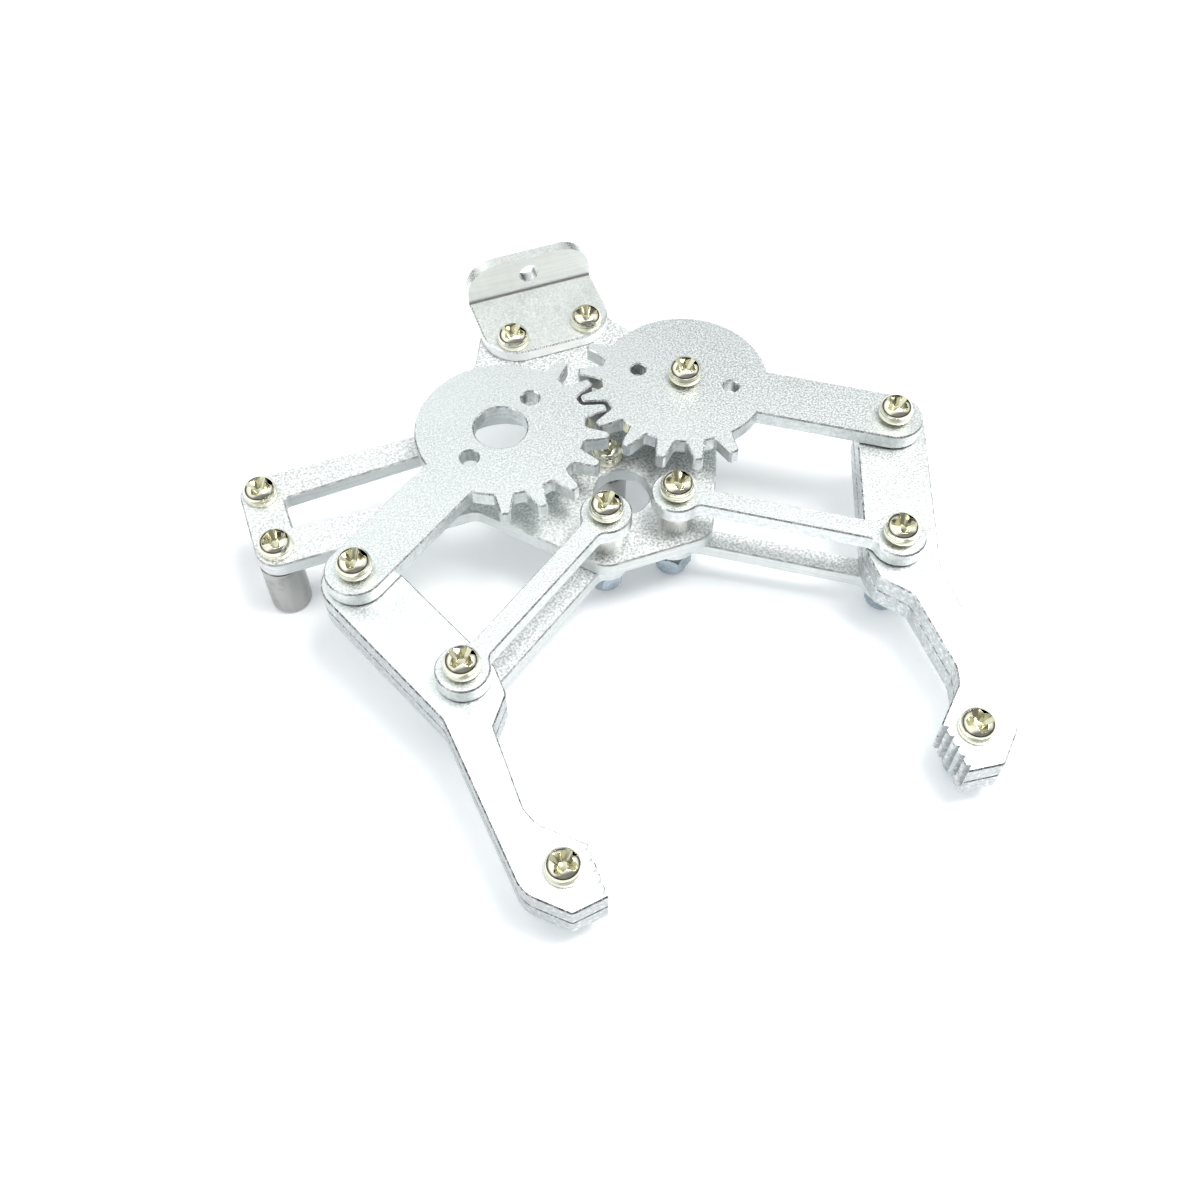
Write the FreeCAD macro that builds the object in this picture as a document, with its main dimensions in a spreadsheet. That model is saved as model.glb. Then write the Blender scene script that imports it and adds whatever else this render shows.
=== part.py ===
import FreeCAD, Part
import Sketcher
import math
import os

V = FreeCAD.Vector
doc = FreeCAD.newDocument("ServoClaw")

# ---------------------------------------------------------------- dimensions
# All lengths in millimetres, all angles in degrees.
TABLE = [
    # placing of the claw in its frame: the origin is the wrist hole on the bracket's rear face
    ("gear_line_y", -32.0), ("plate_top_z", -5.2),
    # base plate and its outline, measured from the middle of the two gear axes
    ("plate_thk", 2.5), ("gear_dist", 28.5),
    ("pl_left", -52.25), ("pl_fork_front", -8.3), ("pl_fork_rear", 8.3),
    ("pl_waist_x", -20.9), ("pl_front", -24.0), ("pl_front_left", -7.0), ("pl_front_right", 9.3),
    ("pl_right", 19.3), ("pl_right_low", -2.5), ("pl_right_high", 6.5),
    ("pl_rear_right_x", 10.4), ("pl_rear_right_y", 21.6), ("pl_rear_half", 9.4), ("pl_rear", 26.0),
    ("pl_rear_left_x", -12.6), ("pl_rear_left_y", 19.0), ("pl_shoulder_x", -22.0),
    ("pl_end_round", 3.2), ("pl_corner_round", 3.4), ("pl_soft_round", 2.5),
    ("shaft_hole_rad", 8.25), ("front_hole_rad", 4.1), ("front_hole_y", -12.2),
    ("win_left", -46.35), ("win_right", -24.2), ("win_rear_left", 3.2), ("win_rear_right", 4.2),
    ("win_front_left", -2.5), ("win_front_right", -2.9), ("win_round", 0.6),
    ("servo_far", 35.0), ("servo_near", 14.5), ("servo_half", 5.0), ("servo_hole_rad", 1.75),
    # wrist bracket
    ("br_width", 20.2), ("br_thk", 2.0), ("br_front_y", 17.0), ("br_rear_y", 32.0), ("br_tall", 8.35),
    ("br_screw_x", 6.0), ("br_screw_y", 20.0), ("br_hole_up", 5.2), ("br_hole_rad", 1.6),
    ("br_flange_round", 5.6), ("br_top_round", 4.8), ("br_bend_round", 0.9), ("br_crease", 0.28),
    # gears and their arms
    ("gear_thk", 2.5), ("gear_teeth", 18), ("tooth_count", 8), ("tooth_tip_rad", 15.7), ("tooth_root_rad", 12.35),
    ("tooth_foot_half", 1.5), ("tooth_flank_half", 1.27), ("tooth_top_half", 0.72), ("tooth_tip_half", 0.42), ("mesh_angle", 14.7),
    ("rest_angle", 56.3), ("arm_len", 31.0), ("arm_half", 4.2),
    ("horn_rad", 7.0), ("horn_hole_rad", 1.32), ("idle_hole_rad", 1.1), ("drive_bore_rad", 3.85),
    # links
    ("link_thk", 2.5), ("link_boss_rad", 3.6), ("link_bar_half", 1.55), ("link_neck_round", 1.6),
    ("pivot_in", 9.0), ("pivot_fwd", 19.5),
    # fingers, measured from the arm pivot, inward and forward
    ("finger_thk", 3.0), ("fin_end_rad", 5.0),
    ("fin_ax", 4.613), ("fin_ay", 1.929), ("fin_bx", 13.30), ("fin_by", -18.85),
    ("fin_cx", 13.45), ("fin_cy", -23.40), ("fin_dx", 10.45), ("fin_dy", -27.40),
    ("fin_ex", 10.50), ("fin_ey", -39.30), ("fin_fx", 11.40), ("fin_fy", -41.80),
    ("fin_gx", 16.30), ("fin_gy", -46.30), ("fin_hx", 16.30), ("fin_hy", -53.40),
    ("fin_ix", 11.60), ("fin_iy", -54.00), ("fin_jx", 6.85), ("fin_jy", -49.50),
    ("fin_kx", 4.72), ("fin_ky", -24.25), ("fin_lx", -4.613), ("fin_ly", -1.929),
    ("fin_bulge_round", 5.0), ("fin_corner_round", 1.3), ("fin_neck_round", 2.2), ("fin_tip_round", 0.8), ("fin_heel_round", 4.5),
    ("tip_in", 12.5), ("tip_fwd", 48.3),
    ("notch_count", 5), ("notch_pitch", 1.45), ("notch_deep", 0.75), ("notch_half", 0.55),
    # fasteners
    ("screw_rad", 1.25), ("head_rad", 2.43), ("head_tall", 2.4), ("head_side", 0.95), ("head_flat_rad", 1.1),
    ("cross_half", 1.4), ("cross_wide", 0.42), ("cross_deep", 1.2),
    ("pivot_hole_rad", 1.3), ("fixed_hole_rad", 1.36),
    ("nut_flat", 5.0), ("nut_hex_tall", 2.5), ("nut_tall", 3.8), ("nut_collar_rad", 2.35), ("nut_collar_round", 0.55),
    ("spacer_rad", 2.6), ("spacer_len", 4.0), ("standoff_rad", 3.0), ("standoff_len", 10.0), ("standoff_edge", 0.5),
    ("standoff_top_bore", 4.4), ("standoff_foot_bore", 5.0), ("foot_bore_rad", 1.5),
    ("play", 0.1), ("head_play", 0.6), ("finger_play", 0.25), ("edge_break", 0.2), ("left_nut_drop", 0.8), ("right_nut_drop", 1.7),
    ("len_link_screw", 16.0), ("len_arm_screw", 14.0), ("len_tip_screw", 10.0),
    ("len_axle_screw", 14.0), ("len_bracket_screw", 10.0), ("len_servo_screw", 6.0),
]
sheet = doc.addObject("Spreadsheet::Sheet", "Dims")
D = {}
for row, (alias, value) in enumerate(TABLE, start=1):
    sheet.set("A%d" % row, alias)
    sheet.set("B%d" % row, str(value))
    sheet.setAlias("B%d" % row, alias)
doc.recompute()
for alias, value in TABLE:
    D[alias] = float(sheet.get(alias))


# ---------------------------------------------------------------- helpers
def cell(alias):
    """Expression and value of a cell; a leading minus reverses the sign."""
    if alias.startswith("-"):
        return "-Dims." + alias[1:], -D[alias[1:]]
    return "Dims." + alias, D[alias]


def origin_item(body, role):
    for item in body.Origin.OriginFeatures:
        if item.Role == role:
            return item
    raise ValueError(role)


def new_body(label):
    body = doc.addObject("PartDesign::Body", label)
    body.Label = label
    return body


def new_sketch(body, name, role="XY_Plane", lift=None):
    sk = body.newObject("Sketcher::SketchObject", name)
    sk.AttachmentSupport = (origin_item(body, role), [""])
    sk.MapMode = "FlatFace"
    if lift is not None:
        sk.setExpression("AttachmentOffset.Base.z", lift)
    return sk


def place_point(sk, geo, pos, ax, ay):
    """Hold a sketch point at sheet coordinates."""
    for kind, alias in (("DistanceX", ax), ("DistanceY", ay)):
        expr, value = cell(alias)
        if value >= 0:
            idx = sk.addConstraint(Sketcher.Constraint(kind, -1, 1, geo, pos, value))
            sk.setExpression("Constraints[%d]" % idx, expr)
        else:
            idx = sk.addConstraint(Sketcher.Constraint(kind, geo, pos, -1, 1, -value))
            flipped = expr[1:] if expr.startswith("-") else "-" + expr
            sk.setExpression("Constraints[%d]" % idx, flipped)


def polygon(sk, points):
    """Closed outline whose corners are pairs of sheet cells."""
    n = len(points)
    vec = [V(cell(px)[1], cell(py)[1], 0) for px, py in points]
    ids = [sk.addGeometry(Part.LineSegment(vec[i], vec[(i + 1) % n]), False) for i in range(n)]
    for i in range(n):
        sk.addConstraint(Sketcher.Constraint("Coincident", ids[i], 2, ids[(i + 1) % n], 1))
    for i in range(n):
        place_point(sk, ids[i], 1, *points[i])
    return ids


def loose_polygon(sk, vec):
    """Closed outline from plain points that the caller worked out from the sheet."""
    n = len(vec)
    ids = [sk.addGeometry(Part.LineSegment(vec[i], vec[(i + 1) % n]), False) for i in range(n)]
    for i in range(n):
        sk.addConstraint(Sketcher.Constraint("Coincident", ids[i], 2, ids[(i + 1) % n], 1))
    return ids


def circle(sk, rad_alias, cx=None, cy=None):
    """Circle with its radius, and its centre when it is not the origin, tied to the sheet."""
    x = cell(cx)[1] if cx else 0.0
    y = cell(cy)[1] if cy else 0.0
    g = sk.addGeometry(Part.Circle(V(x, y, 0), V(0, 0, 1), D[rad_alias]), False)
    idx = sk.addConstraint(Sketcher.Constraint("Radius", g, D[rad_alias]))
    sk.setExpression("Constraints[%d]" % idx, "Dims." + rad_alias)
    if not cx and not cy:
        sk.addConstraint(Sketcher.Constraint("Coincident", g, 3, -1, 1))
    else:
        for kind, alias, axis in (("DistanceX", cx, -2), ("DistanceY", cy, -1)):
            if alias is None:
                sk.addConstraint(Sketcher.Constraint("PointOnObject", g, 3, axis))
                continue
            expr, value = cell(alias)
            if value >= 0:
                i = sk.addConstraint(Sketcher.Constraint(kind, -1, 1, g, 3, value))
                sk.setExpression("Constraints[%d]" % i, expr)
            else:
                i = sk.addConstraint(Sketcher.Constraint(kind, g, 3, -1, 1, -value))
                flipped = expr[1:] if expr.startswith("-") else "-" + expr
                sk.setExpression("Constraints[%d]" % i, flipped)
    return g


def pad(body, sk, length, name):
    p = body.newObject("PartDesign::Pad", name)
    p.Profile = sk
    p.setExpression("Length", length)
    p.Refine = True
    sk.Visibility = False
    return p


def cut_through(body, sk, name):
    """Pocket from the underside sketch up through the whole plate."""
    p = body.newObject("PartDesign::Pocket", name)
    p.Profile = sk
    p.Type = "ThroughAll"
    p.Reversed = True
    p.Refine = True
    return p


def holes(body, spec, name):
    """Through holes; spec is a list of (radius cell, x cell or None, y cell or None)."""
    before = settle(body).Volume
    sk = new_sketch(body, name + "_sketch")
    for rad, cx, cy in spec:
        circle(sk, rad, cx, cy)
    p = cut_through(body, sk, name)
    after = settle(body).Volume
    if after > before - 0.5:
        raise ValueError("holes cut nothing in " + body.Label)
    return p


def settle(body):
    doc.recompute()
    for item in body.Group:
        if any(word in item.State for word in ("Invalid", "Error")):
            raise RuntimeError("failed: %s in %s" % (item.Label, body.Label))
    return body.Shape


def upright_edges(shape, spots, tol=0.02):
    """Names of straight edges along Z that stand on the given XY points."""
    names = []
    for i, e in enumerate(shape.Edges, start=1):
        if len(e.Vertexes) != 2:
            continue
        a, b = e.Vertexes[0].Point, e.Vertexes[1].Point
        if math.hypot(a.x - b.x, a.y - b.y) > 1e-4:
            continue
        for sx, sy in spots:
            if math.hypot(a.x - sx, a.y - sy) < tol:
                names.append("Edge%d" % i)
    return names


def round_corners(body, spots, radius, name):
    """Fillet on the upright edges at the given corners."""
    shape = settle(body)
    tip = body.Tip
    names = upright_edges(tip.Shape, spots)
    if len(names) != len(spots):
        raise ValueError("%s: %d of %d corners found" % (name, len(names), len(spots)))
    f = body.newObject("PartDesign::Fillet", name)
    f.Base = (tip, names)
    f.setExpression("Radius", "Dims." + radius)
    settle(body)
    return f


def break_edges(body, size="edge_break"):
    """Small chamfer round the outlines of the top and bottom faces."""
    shape = settle(body)
    tip = body.Tip
    zs = (tip.Shape.BoundBox.ZMin, tip.Shape.BoundBox.ZMax)
    faces = []
    for i, f in enumerate(tip.Shape.Faces, start=1):
        box = f.BoundBox
        if box.ZLength < 1e-6 and min(abs(box.ZMin - z) for z in zs) < 1e-6:
            faces.append("Face%d" % i)
    c = body.newObject("PartDesign::Chamfer", "edge_break")
    c.Base = (tip, faces)
    c.setExpression("Size", "Dims." + size)
    settle(body)
    return c


def put(body, x, y, z, turn=0.0):
    body.Placement = FreeCAD.Placement(V(x, y, z), FreeCAD.Rotation(V(0, 0, 1), turn))


# ---------------------------------------------------------------- places in the frame
GY = D["gear_line_y"]
Z0 = D["plate_top_z"]                       # top of the base plate
HALF = D["gear_dist"] / 2.0
PHI = math.radians(D["rest_angle"])
Z_UP = Z0 + D["spacer_len"]                 # underside of gears and upper links
Z_UP_TOP = Z_UP + D["gear_thk"]
Z_LOW_TOP = Z0 - D["plate_thk"] - D["play"]  # top of the lower links
Z_LOW = Z_LOW_TOP - D["link_thk"]
FINGER_TOP = Z_UP - D["finger_play"]
FINGER_MID = FINGER_TOP - D["finger_thk"]
FINGER_LOW = FINGER_MID - D["finger_thk"]
HEAD_SEAT = Z_UP_TOP + D["head_play"]            # underside of the pivot screw heads
TURN = {"left": 270.0 - D["rest_angle"], "right": D["rest_angle"] - 90.0}
SIDE = {"left": -1.0, "right": 1.0}


def gear_centre(side):
    return SIDE[side] * HALF, GY


def inner_pivot(side):
    return SIDE[side] * (HALF - D["pivot_in"]), GY - D["pivot_fwd"]


def arm_pivot(side):
    x, y = gear_centre(side)
    return x + SIDE[side] * D["arm_len"] * math.sin(PHI), y - D["arm_len"] * math.cos(PHI)


def link_pivot(side):
    x, y = arm_pivot(side)
    return x - SIDE[side] * D["pivot_in"], y - D["pivot_fwd"]


def tip_point(side):
    x, y = arm_pivot(side)
    return x - SIDE[side] * D["tip_in"], y - D["tip_fwd"]


nodes = []

# ---------------------------------------------------------------- base plate
plate = new_body("base_plate")
sk = new_sketch(plate, "plate_outline")
outline = [("pl_left", "pl_fork_front"), ("pl_waist_x", "pl_fork_front"), ("pl_front_left", "pl_front"),
           ("pl_front_right", "pl_front"), ("pl_right", "pl_right_low"), ("pl_right", "pl_right_high"),
           ("pl_rear_right_x", "pl_rear_right_y"), ("pl_rear_half", "pl_rear"), ("-pl_rear_half", "pl_rear"),
           ("pl_rear_left_x", "pl_rear_left_y"), ("pl_shoulder_x", "pl_fork_rear"), ("pl_left", "pl_fork_rear")]
polygon(sk, outline)
pad(plate, sk, "Dims.plate_thk", "plate_blank")
xy = [(cell(a)[1], cell(b)[1]) for a, b in outline]
round_corners(plate, [xy[0], xy[11]], "pl_end_round", "fork_end_rounds")
round_corners(plate, [xy[2], xy[3], xy[4], xy[5]], "pl_corner_round", "plate_corner_rounds")
round_corners(plate, [xy[1], xy[6], xy[7], xy[8], xy[9], xy[10]], "pl_soft_round", "plate_soft_rounds")

sk = new_sketch(plate, "window_sketch")
polygon(sk, [("win_left", "win_front_left"), ("win_right", "win_front_right"), ("win_right", "win_rear_right"), ("win_left", "win_rear_left")])
cut_through(plate, sk, "fork_window")
round_corners(plate, [(D["win_left"], D["win_front_left"]), (D["win_right"], D["win_front_right"]),
                      (D["win_right"], D["win_rear_right"]), (D["win_left"], D["win_rear_left"])], "win_round", "window_rounds")

# hole places that follow from the gear axes
extra = [("ax_left", -HALF), ("ax_right", HALF), ("piv_left", -(HALF - D["pivot_in"])), ("piv_right", HALF - D["pivot_in"]),
         ("piv_y", -D["pivot_fwd"]), ("sv_far_x", -HALF - D["servo_far"]), ("sv_near_x", -HALF + D["servo_near"])]
for k, (alias, value) in enumerate(extra, start=len(TABLE) + 2):
    sheet.set("A%d" % k, alias)
    sheet.set("B%d" % k, str(round(value, 6)))
    sheet.setAlias("B%d" % k, alias)
    D[alias] = value
doc.recompute()

holes(plate, [("shaft_hole_rad", "ax_left", None)], "servo_shaft_hole")
holes(plate, [("front_hole_rad", None, "front_hole_y")], "front_hole")
holes(plate, [("fixed_hole_rad", "ax_right", None),
              ("fixed_hole_rad", "piv_left", "piv_y"), ("fixed_hole_rad", "piv_right", "piv_y"),
              ("fixed_hole_rad", "br_screw_x", "br_screw_y"), ("fixed_hole_rad", "-br_screw_x", "br_screw_y"),
              ("servo_hole_rad", "sv_far_x", "servo_half"), ("servo_hole_rad", "sv_far_x", "-servo_half"),
              ("servo_hole_rad", "sv_near_x", "servo_half"), ("servo_hole_rad", "sv_near_x", "-servo_half")], "screw_holes")
break_edges(plate)
put(plate, 0, GY, Z0 - D["plate_thk"])
nodes.append(plate)

# ---------------------------------------------------------------- wrist bracket
# L section drawn on the YZ plane and padded across the width.
bracket = new_body("wrist_bracket")
sk = new_sketch(bracket, "bracket_section", "YZ_Plane")
yf, yr = D["br_front_y"], D["br_rear_y"]
up, th = D["br_tall"], D["br_thk"]
g0 = D["br_crease"]
loop = [V(yf, 0, 0), V(yr, 0, 0), V(yr, up, 0), V(yr - th, up, 0), V(yr - th, th - g0, 0), V(yr - th - g0, th, 0), V(yf, th, 0)]
ids = loose_polygon(sk, loop)
for i in (0, 2, 5):
    sk.addConstraint(Sketcher.Constraint("Horizontal", ids[i]))
for i in (1, 3, 6):
    sk.addConstraint(Sketcher.Constraint("Vertical", ids[i]))
sk.addConstraint(Sketcher.Constraint("PointOnObject", ids[0], 1, -1))
for kind, a, b, alias in (("DistanceX", (-1, 1), (ids[0], 1), "br_front_y"), ("DistanceX", (-1, 1), (ids[0], 2), "br_rear_y"),
                          ("DistanceY", (ids[1], 1), (ids[1], 2), "br_tall"), ("DistanceX", (ids[2], 2), (ids[2], 1), "br_thk"),
                          ("DistanceY", (ids[6], 2), (ids[6], 1), "br_thk"),
                          ("DistanceX", (ids[4], 2), (ids[4], 1), "br_crease"), ("DistanceY", (ids[4], 1), (ids[4], 2), "br_crease")):
    i = sk.addConstraint(Sketcher.Constraint(kind, a[0], a[1], b[0], b[1], D[alias]))
    sk.setExpression("Constraints[%d]" % i, "Dims." + alias)
p = pad(bracket, sk, "Dims.br_width", "bracket_blank")
p.Midplane = True
settle(bracket)


def edges_where(shape, test):
    names = []
    for i, e in enumerate(shape.Edges, start=1):
        if len(e.Vertexes) == 2 and test(e.Vertexes[0].Point, e.Vertexes[1].Point):
            names.append("Edge%d" % i)
    return names


hw = D["br_width"] / 2.0
tip = bracket.Tip
names = edges_where(tip.Shape, lambda a, b: abs(abs(a.x) - hw) < 1e-3 and abs(a.x - b.x) < 1e-3 and abs(a.y - yf) < 1e-3 and abs(b.y - yf) < 1e-3)
f = bracket.newObject("PartDesign::Fillet", "flange_rounds")
f.Base = (tip, names)
f.setExpression("Radius", "Dims.br_flange_round")
doc.recompute()
tip = bracket.Tip
names = edges_where(tip.Shape, lambda a, b: abs(abs(a.x) - hw) < 1e-3 and abs(a.x - b.x) < 1e-3 and abs(a.z - up) < 1e-3 and abs(b.z - up) < 1e-3)
f = bracket.newObject("PartDesign::Fillet", "upright_rounds")
f.Base = (tip, names)
f.setExpression("Radius", "Dims.br_top_round")
doc.recompute()
tip = bracket.Tip
names = edges_where(tip.Shape, lambda a, b: abs(a.y - yr) < 1e-3 and abs(b.y - yr) < 1e-3 and abs(a.z) < 1e-3 and abs(b.z) < 1e-3)
f = bracket.newObject("PartDesign::Fillet", "bend_round")
f.Base = (tip, names)
f.setExpression("Radius", "Dims.br_bend_round")
doc.recompute()
holes(bracket, [("fixed_hole_rad", "br_screw_x", "br_screw_y"), ("fixed_hole_rad", "-br_screw_x", "br_screw_y")], "flange_holes")
before = settle(bracket).Volume
sk = new_sketch(bracket, "wrist_hole_sketch", "XZ_Plane")
circle(sk, "br_hole_rad", None, "br_hole_up")
p = bracket.newObject("PartDesign::Pocket", "wrist_hole")
p.Profile = sk
p.Type = "ThroughAll"
p.Midplane = True
if settle(bracket).Volume > before - 1.0:
    raise ValueError("wrist hole cut nothing")
# small break on the outline edges of the flange and the upright
tip = bracket.Tip
faces = []
for i, fc in enumerate(tip.Shape.Faces, start=1):
    b = fc.BoundBox
    if (b.ZLength < 1e-6 and abs(b.ZMin - th) < 1e-6) or (b.YLength < 1e-6 and abs(b.YMin - yr) < 1e-6):
        faces.append("Face%d" % i)
names = []
for fn in faces:
    fc = tip.Shape.getElement(fn)
    for e in fc.Edges:
        mid = e.valueAt((e.FirstParameter + e.LastParameter) / 2.0)
        crease = mid.y > yr - th - g0 - 1e-3 and abs(mid.z - th) < 1e-3
        bend = abs(mid.y - yr) < 1e-3 and mid.z < D["br_bend_round"] + 1e-3
        ring = len(e.Vertexes) < 2
        if ring or crease or bend or (abs(mid.x) > hw - 1e-3 and abs(mid.z - th) < 1e-3 and abs(mid.y - yr) < th + 1e-3):
            continue
        for j, other in enumerate(tip.Shape.Edges, start=1):
            if other.isSame(e):
                names.append("Edge%d" % j)
if names:
    c = bracket.newObject("PartDesign::Chamfer", "edge_break")
    c.Base = (tip, sorted(set(names)))
    c.setExpression("Size", "Dims.edge_break")
    doc.recompute()
    if c.State and "Invalid" in c.State:
        bracket.removeObject(c)
        doc.removeObject(c.Name)
        bracket.Tip = tip
        doc.recompute()
put(bracket, 0, GY, Z0)
nodes.append(bracket)


# ---------------------------------------------------------------- gears
def tooth_outline(angle_deg):
    """Corner points of one straight-sided tooth on the given centre angle."""
    rt, rr = D["tooth_tip_rad"], D["tooth_root_rad"]
    steps = [(rr - 0.6, D["tooth_foot_half"]), (rr + 0.02, D["tooth_foot_half"]), (rr + 0.42, D["tooth_flank_half"]),
             (rt - 0.3, D["tooth_top_half"]), (rt, D["tooth_tip_half"])]

    def at(r, half):
        t = math.radians(angle_deg) + half / r
        return V(r * math.cos(t), r * math.sin(t), 0)

    return [at(r, -half) for r, half in steps] + [at(r, half) for r, half in reversed(steps)]


def make_gear(label, first_angle, bore, side_hole):
    """Toothed disc with a round-ended arm along local +X."""
    body = new_body(label)
    sk = new_sketch(body, "disc_sketch")
    circle(sk, "tooth_root_rad")
    pad(body, sk, "Dims.gear_thk", "disc")
    sk = new_sketch(body, "arm_sketch")
    L, w = D["arm_len"], D["arm_half"]
    a = sk.addGeometry(Part.LineSegment(V(L, -w, 0), V(0, -w, 0)), False)
    b = sk.addGeometry(Part.LineSegment(V(0, -w, 0), V(0, w, 0)), False)
    c = sk.addGeometry(Part.LineSegment(V(0, w, 0), V(L, w, 0)), False)
    e = sk.addGeometry(Part.ArcOfCircle(Part.Circle(V(L, 0, 0), V(0, 0, 1), w), -math.pi / 2.0, math.pi / 2.0), False)
    sk.addConstraint(Sketcher.Constraint("Coincident", a, 2, b, 1))
    sk.addConstraint(Sketcher.Constraint("Coincident", b, 2, c, 1))
    sk.addConstraint(Sketcher.Constraint("Tangent", c, 2, e, 2))
    sk.addConstraint(Sketcher.Constraint("Tangent", e, 1, a, 1))
    sk.addConstraint(Sketcher.Constraint("Horizontal", a))
    sk.addConstraint(Sketcher.Constraint("Horizontal", c))
    sk.addConstraint(Sketcher.Constraint("Vertical", b))
    sk.addConstraint(Sketcher.Constraint("PointOnObject", e, 3, -1))
    sk.addConstraint(Sketcher.Constraint("PointOnObject", b, 1, -2))
    i = sk.addConstraint(Sketcher.Constraint("DistanceX", -1, 1, e, 3, L))
    sk.setExpression("Constraints[%d]" % i, "Dims.arm_len")
    i = sk.addConstraint(Sketcher.Constraint("Radius", e, w))
    sk.setExpression("Constraints[%d]" % i, "Dims.arm_half")
    pad(body, sk, "Dims.gear_thk", "arm")
    doc.recompute()
    sk = new_sketch(body, "tooth_sketch")
    loose_polygon(sk, tooth_outline(first_angle))
    tooth = pad(body, sk, "Dims.gear_thk", "tooth")
    doc.recompute()
    ring = body.newObject("PartDesign::PolarPattern", "teeth")
    ring.Originals = [tooth]
    ring.Axis = (origin_item(body, "Z_Axis"), [""])
    ring.Angle = (D["tooth_count"] - 1) * 360.0 / D["gear_teeth"]
    ring.setExpression("Angle", "(Dims.tooth_count - 1) * 360 / Dims.gear_teeth")
    ring.Occurrences = int(D["tooth_count"])
    ring.setExpression("Occurrences", "Dims.tooth_count")
    ring.Refine = True
    body.Tip = ring
    one = tooth.Shape.Volume
    many = settle(body).Volume
    if many < one + 5 * 5.0:
        raise ValueError("tooth pattern missing on " + label)
    holes(body, [(bore, None, None)], "centre_hole")
    holes(body, [("pivot_hole_rad", "arm_len", None)], "arm_hole")
    holes(body, [(side_hole, "horn_rad", None), (side_hole, "-horn_rad", None)], "horn_holes")
    break_edges(body)
    return body


pitch = 360.0 / D["gear_teeth"]
# the driven gear carries its teeth half a pitch away from those of the drive gear
first_left = D["mesh_angle"] + pitch - (D["tooth_count"] - 1) * pitch - TURN["left"]
drive = make_gear("drive_gear", first_left, "drive_bore_rad", "horn_hole_rad")
put(drive, -HALF, GY, Z_UP, TURN["left"])
nodes.append(drive)
top_right = D["mesh_angle"] - pitch / 2.0 + 2 * pitch
first_right = 180.0 - top_right - TURN["right"]
driven = make_gear("driven_gear", first_right, "pivot_hole_rad", "idle_hole_rad")
put(driven, HALF, GY, Z_UP, TURN["right"])
nodes.append(driven)


# ---------------------------------------------------------------- links
def make_link(label):
    """Flat bar along local +X with a round boss and a pivot hole at each end."""
    body = new_body(label)
    sk = new_sketch(body, "near_boss_sketch")
    circle(sk, "link_boss_rad")
    pad(body, sk, "Dims.link_thk", "near_boss")
    sk = new_sketch(body, "far_boss_sketch")
    circle(sk, "link_boss_rad", "arm_len", None)
    # the two bosses are joined by the bar below, which is padded first
    L, w = D["arm_len"], D["link_bar_half"]
    bar = new_sketch(body, "bar_sketch")
    g = loose_polygon(bar, [V(0, -w, 0), V(L, -w, 0), V(L, w, 0), V(0, w, 0)])
    bar.addConstraint(Sketcher.Constraint("Horizontal", g[0]))
    bar.addConstraint(Sketcher.Constraint("Horizontal", g[2]))
    bar.addConstraint(Sketcher.Constraint("Vertical", g[1]))
    bar.addConstraint(Sketcher.Constraint("PointOnObject", g[0], 1, -2))
    bar.addConstraint(Sketcher.Constraint("Symmetric", g[0], 1, g[3], 1, -1))
    i = bar.addConstraint(Sketcher.Constraint("DistanceX", g[0], 1, g[0], 2, L))
    bar.setExpression("Constraints[%d]" % i, "Dims.arm_len")
    i = bar.addConstraint(Sketcher.Constraint("DistanceY", g[1], 1, g[1], 2, 2 * w))
    bar.setExpression("Constraints[%d]" % i, "2 * Dims.link_bar_half")
    pad(body, bar, "Dims.link_thk", "bar")
    pad(body, sk, "Dims.link_thk", "far_boss")
    settle(body)
    inset = math.sqrt(D["link_boss_rad"] ** 2 - w * w)
    round_corners(body, [(inset, w), (inset, -w), (L - inset, w), (L - inset, -w)], "link_neck_round", "neck_rounds")
    holes(body, [("pivot_hole_rad", None, None), ("pivot_hole_rad", "arm_len", None)], "pivot_holes")
    break_edges(body)
    return body


for side in ("left", "right"):
    x, y = inner_pivot(side)
    upper = make_link(side + "_upper_link")
    put(upper, x, y, Z_UP, TURN[side])
    lower = make_link(side + "_lower_link")
    put(lower, x, y, Z_LOW, TURN[side])
    nodes += [upper, lower]


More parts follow.
